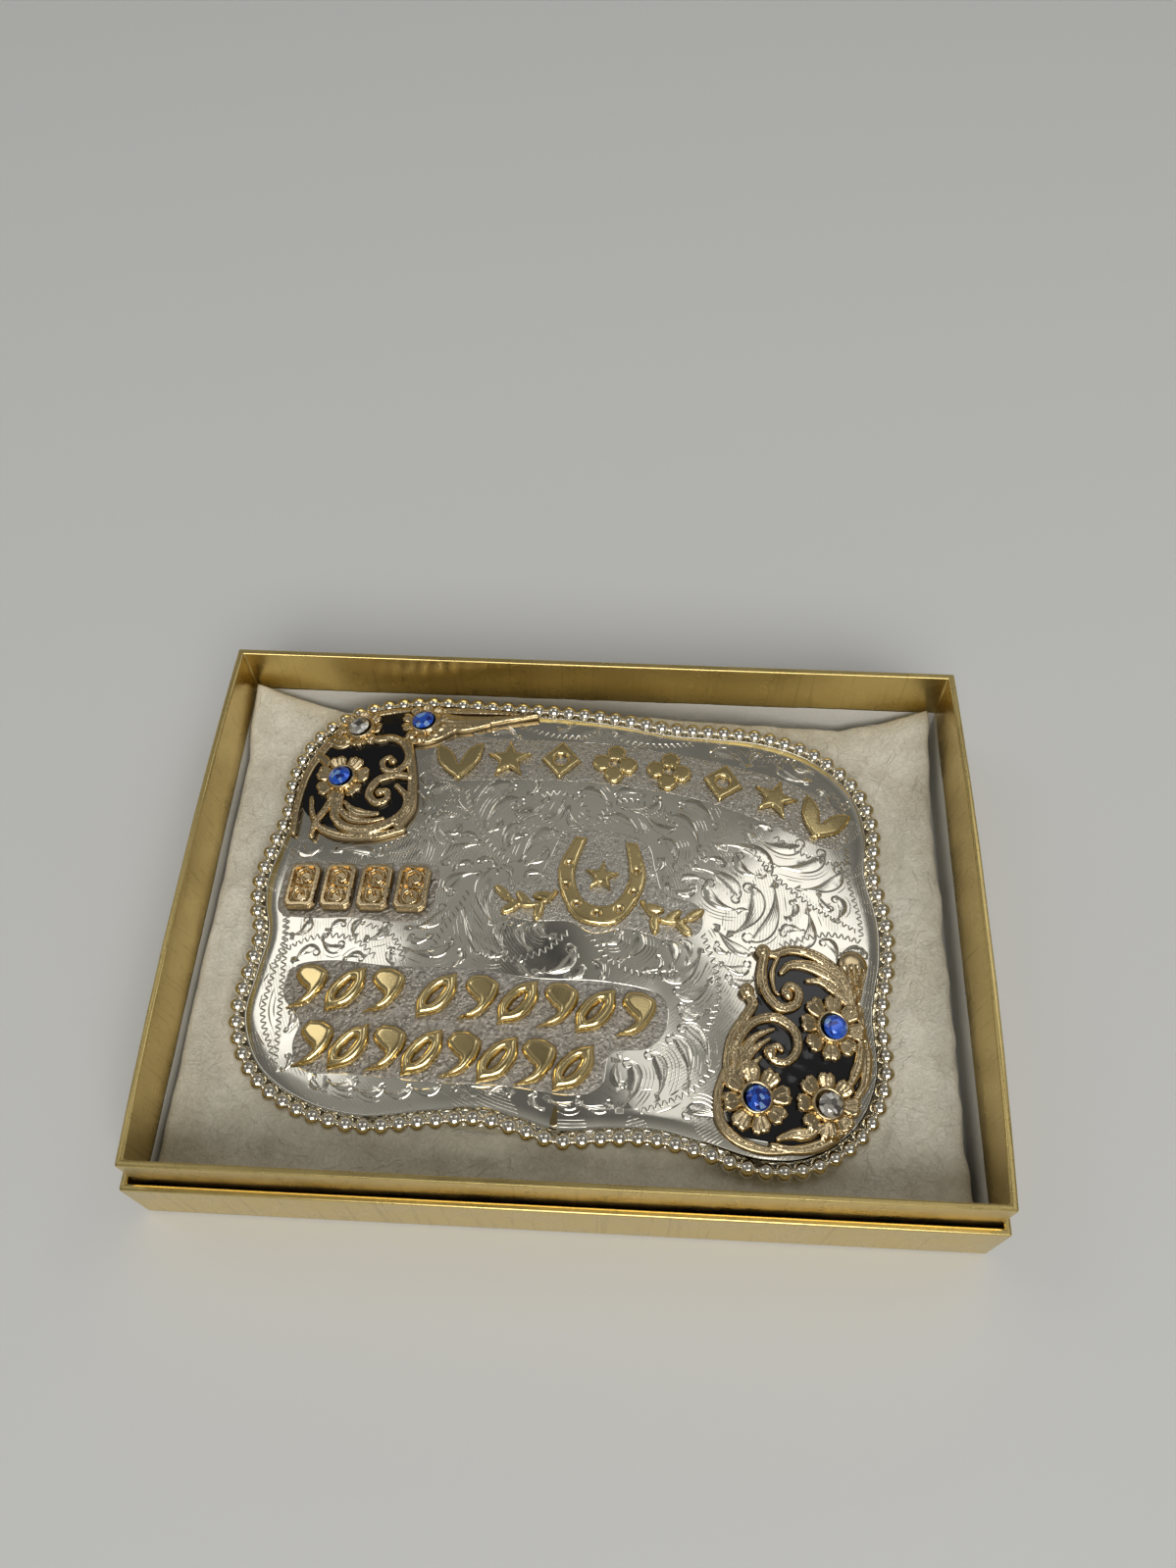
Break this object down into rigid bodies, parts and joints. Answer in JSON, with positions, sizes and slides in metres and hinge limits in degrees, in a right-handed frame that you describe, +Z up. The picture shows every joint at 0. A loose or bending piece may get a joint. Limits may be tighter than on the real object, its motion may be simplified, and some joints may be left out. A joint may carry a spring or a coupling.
{
  "type": "western trophy buckle in an open gift box",
  "caption": "Engraved western trophy buckle with beaded edge, gold floral corners and cut stones, lying on cotton in an open gold foil gift box.",
  "frame": {"origin": "centre of the outer lid's base, on the surface that the box stands on", "axes": "+X along the box's long side, to the right as the buckle is read; +Y towards the back of the box; +Z up"},
  "size_m": [0.139, 0.1006, 0.0235],
  "materials": {
    "gold_foil": "satin metallic foil paper over card, faintly brushed",
    "cotton": "matte felted cotton wool",
    "silver": "bright polished silver plate with cut engraving",
    "antique_gold": "cast gold bronze, polished high spots over dark recesses",
    "brass": "polished brass with bright edges",
    "black_enamel": "glossy black enamel, slightly wavy",
    "blue_stone": "faceted sapphire blue glass stone, foil backed",
    "clear_stone": "faceted clear glass stone, foil backed"
  },
  "bodies": {
    "root": {"arc_leaf_left": "brass", "arc_leaf_right": "brass", "arc_lozenge_left": "brass", "arc_lozenge_right": "brass", "arc_quatrefoil_left": "brass", "arc_quatrefoil_right": "brass", "arc_star_left": "brass", "arc_star_right": "brass", "bead_edge": "silver", "belt_hook": "silver", "belt_loop": "silver", "box_lid": "gold_foil", "box_tray": "gold_foil", "corner_overlay_left": "antique_gold", "corner_overlay_right": "antique_gold", "cotton_pad": "cotton", "emblem_horseshoe": "brass", "emblem_spray_left": "brass", "emblem_spray_right": "brass", "emblem_star": "brass", "enamel_left": "black_enamel", "enamel_right": "black_enamel", "face_plate": "silver", "lower_scroll_1": "brass", "lower_scroll_2": "brass", "lower_scroll_3": "brass", "lower_scroll_4": "brass", "lower_scroll_5": "brass", "lower_scroll_6": "brass", "lower_scroll_7": "brass", "lower_scroll_8": "brass", "plaque_1": "antique_gold", "plaque_2": "antique_gold", "plaque_3": "antique_gold", "plaque_4": "antique_gold", "stone_left_blue_low": "blue_stone", "stone_left_blue_top": "blue_stone", "stone_left_clear": "clear_stone", "stone_right_blue_low": "blue_stone", "stone_right_blue_top": "blue_stone", "stone_right_clear": "clear_stone", "upper_scroll_1": "brass", "upper_scroll_2": "brass", "upper_scroll_3": "brass", "upper_scroll_4": "brass", "upper_scroll_5": "brass", "upper_scroll_6": "brass", "upper_scroll_7": "brass", "upper_scroll_8": "brass", "upper_scroll_9": "brass"}
  },
  "joints": []
}
